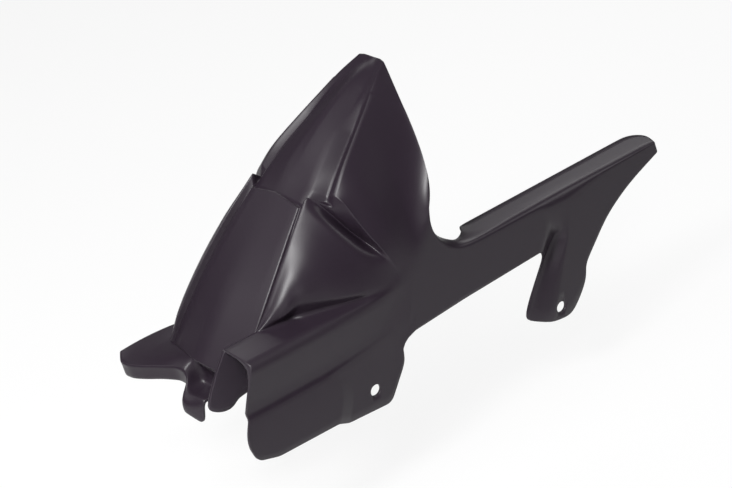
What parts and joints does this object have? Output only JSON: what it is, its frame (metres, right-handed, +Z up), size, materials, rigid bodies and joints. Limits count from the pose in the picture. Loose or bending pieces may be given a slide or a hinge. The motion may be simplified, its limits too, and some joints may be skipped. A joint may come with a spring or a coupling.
{
  "type": "rear hugger mudguard",
  "caption": "Thin moulded motorcycle rear hugger: a creased wheel arch, a chain-side wall with a bolt tab, and a long guard arm with a drop leg.",
  "frame": {"origin": "centre of the front bolt hole, halfway through the tab's wall", "axes": "+X rearward along the guard arm, +Y from the chain side towards the wheel and the far side, +Z up"},
  "size_m": [0.6019, 0.203, 0.3318],
  "materials": {
    "shell": "satin near-black moulded plastic"
  },
  "bodies": {
    "root": {"hugger": "shell"}
  },
  "joints": []
}
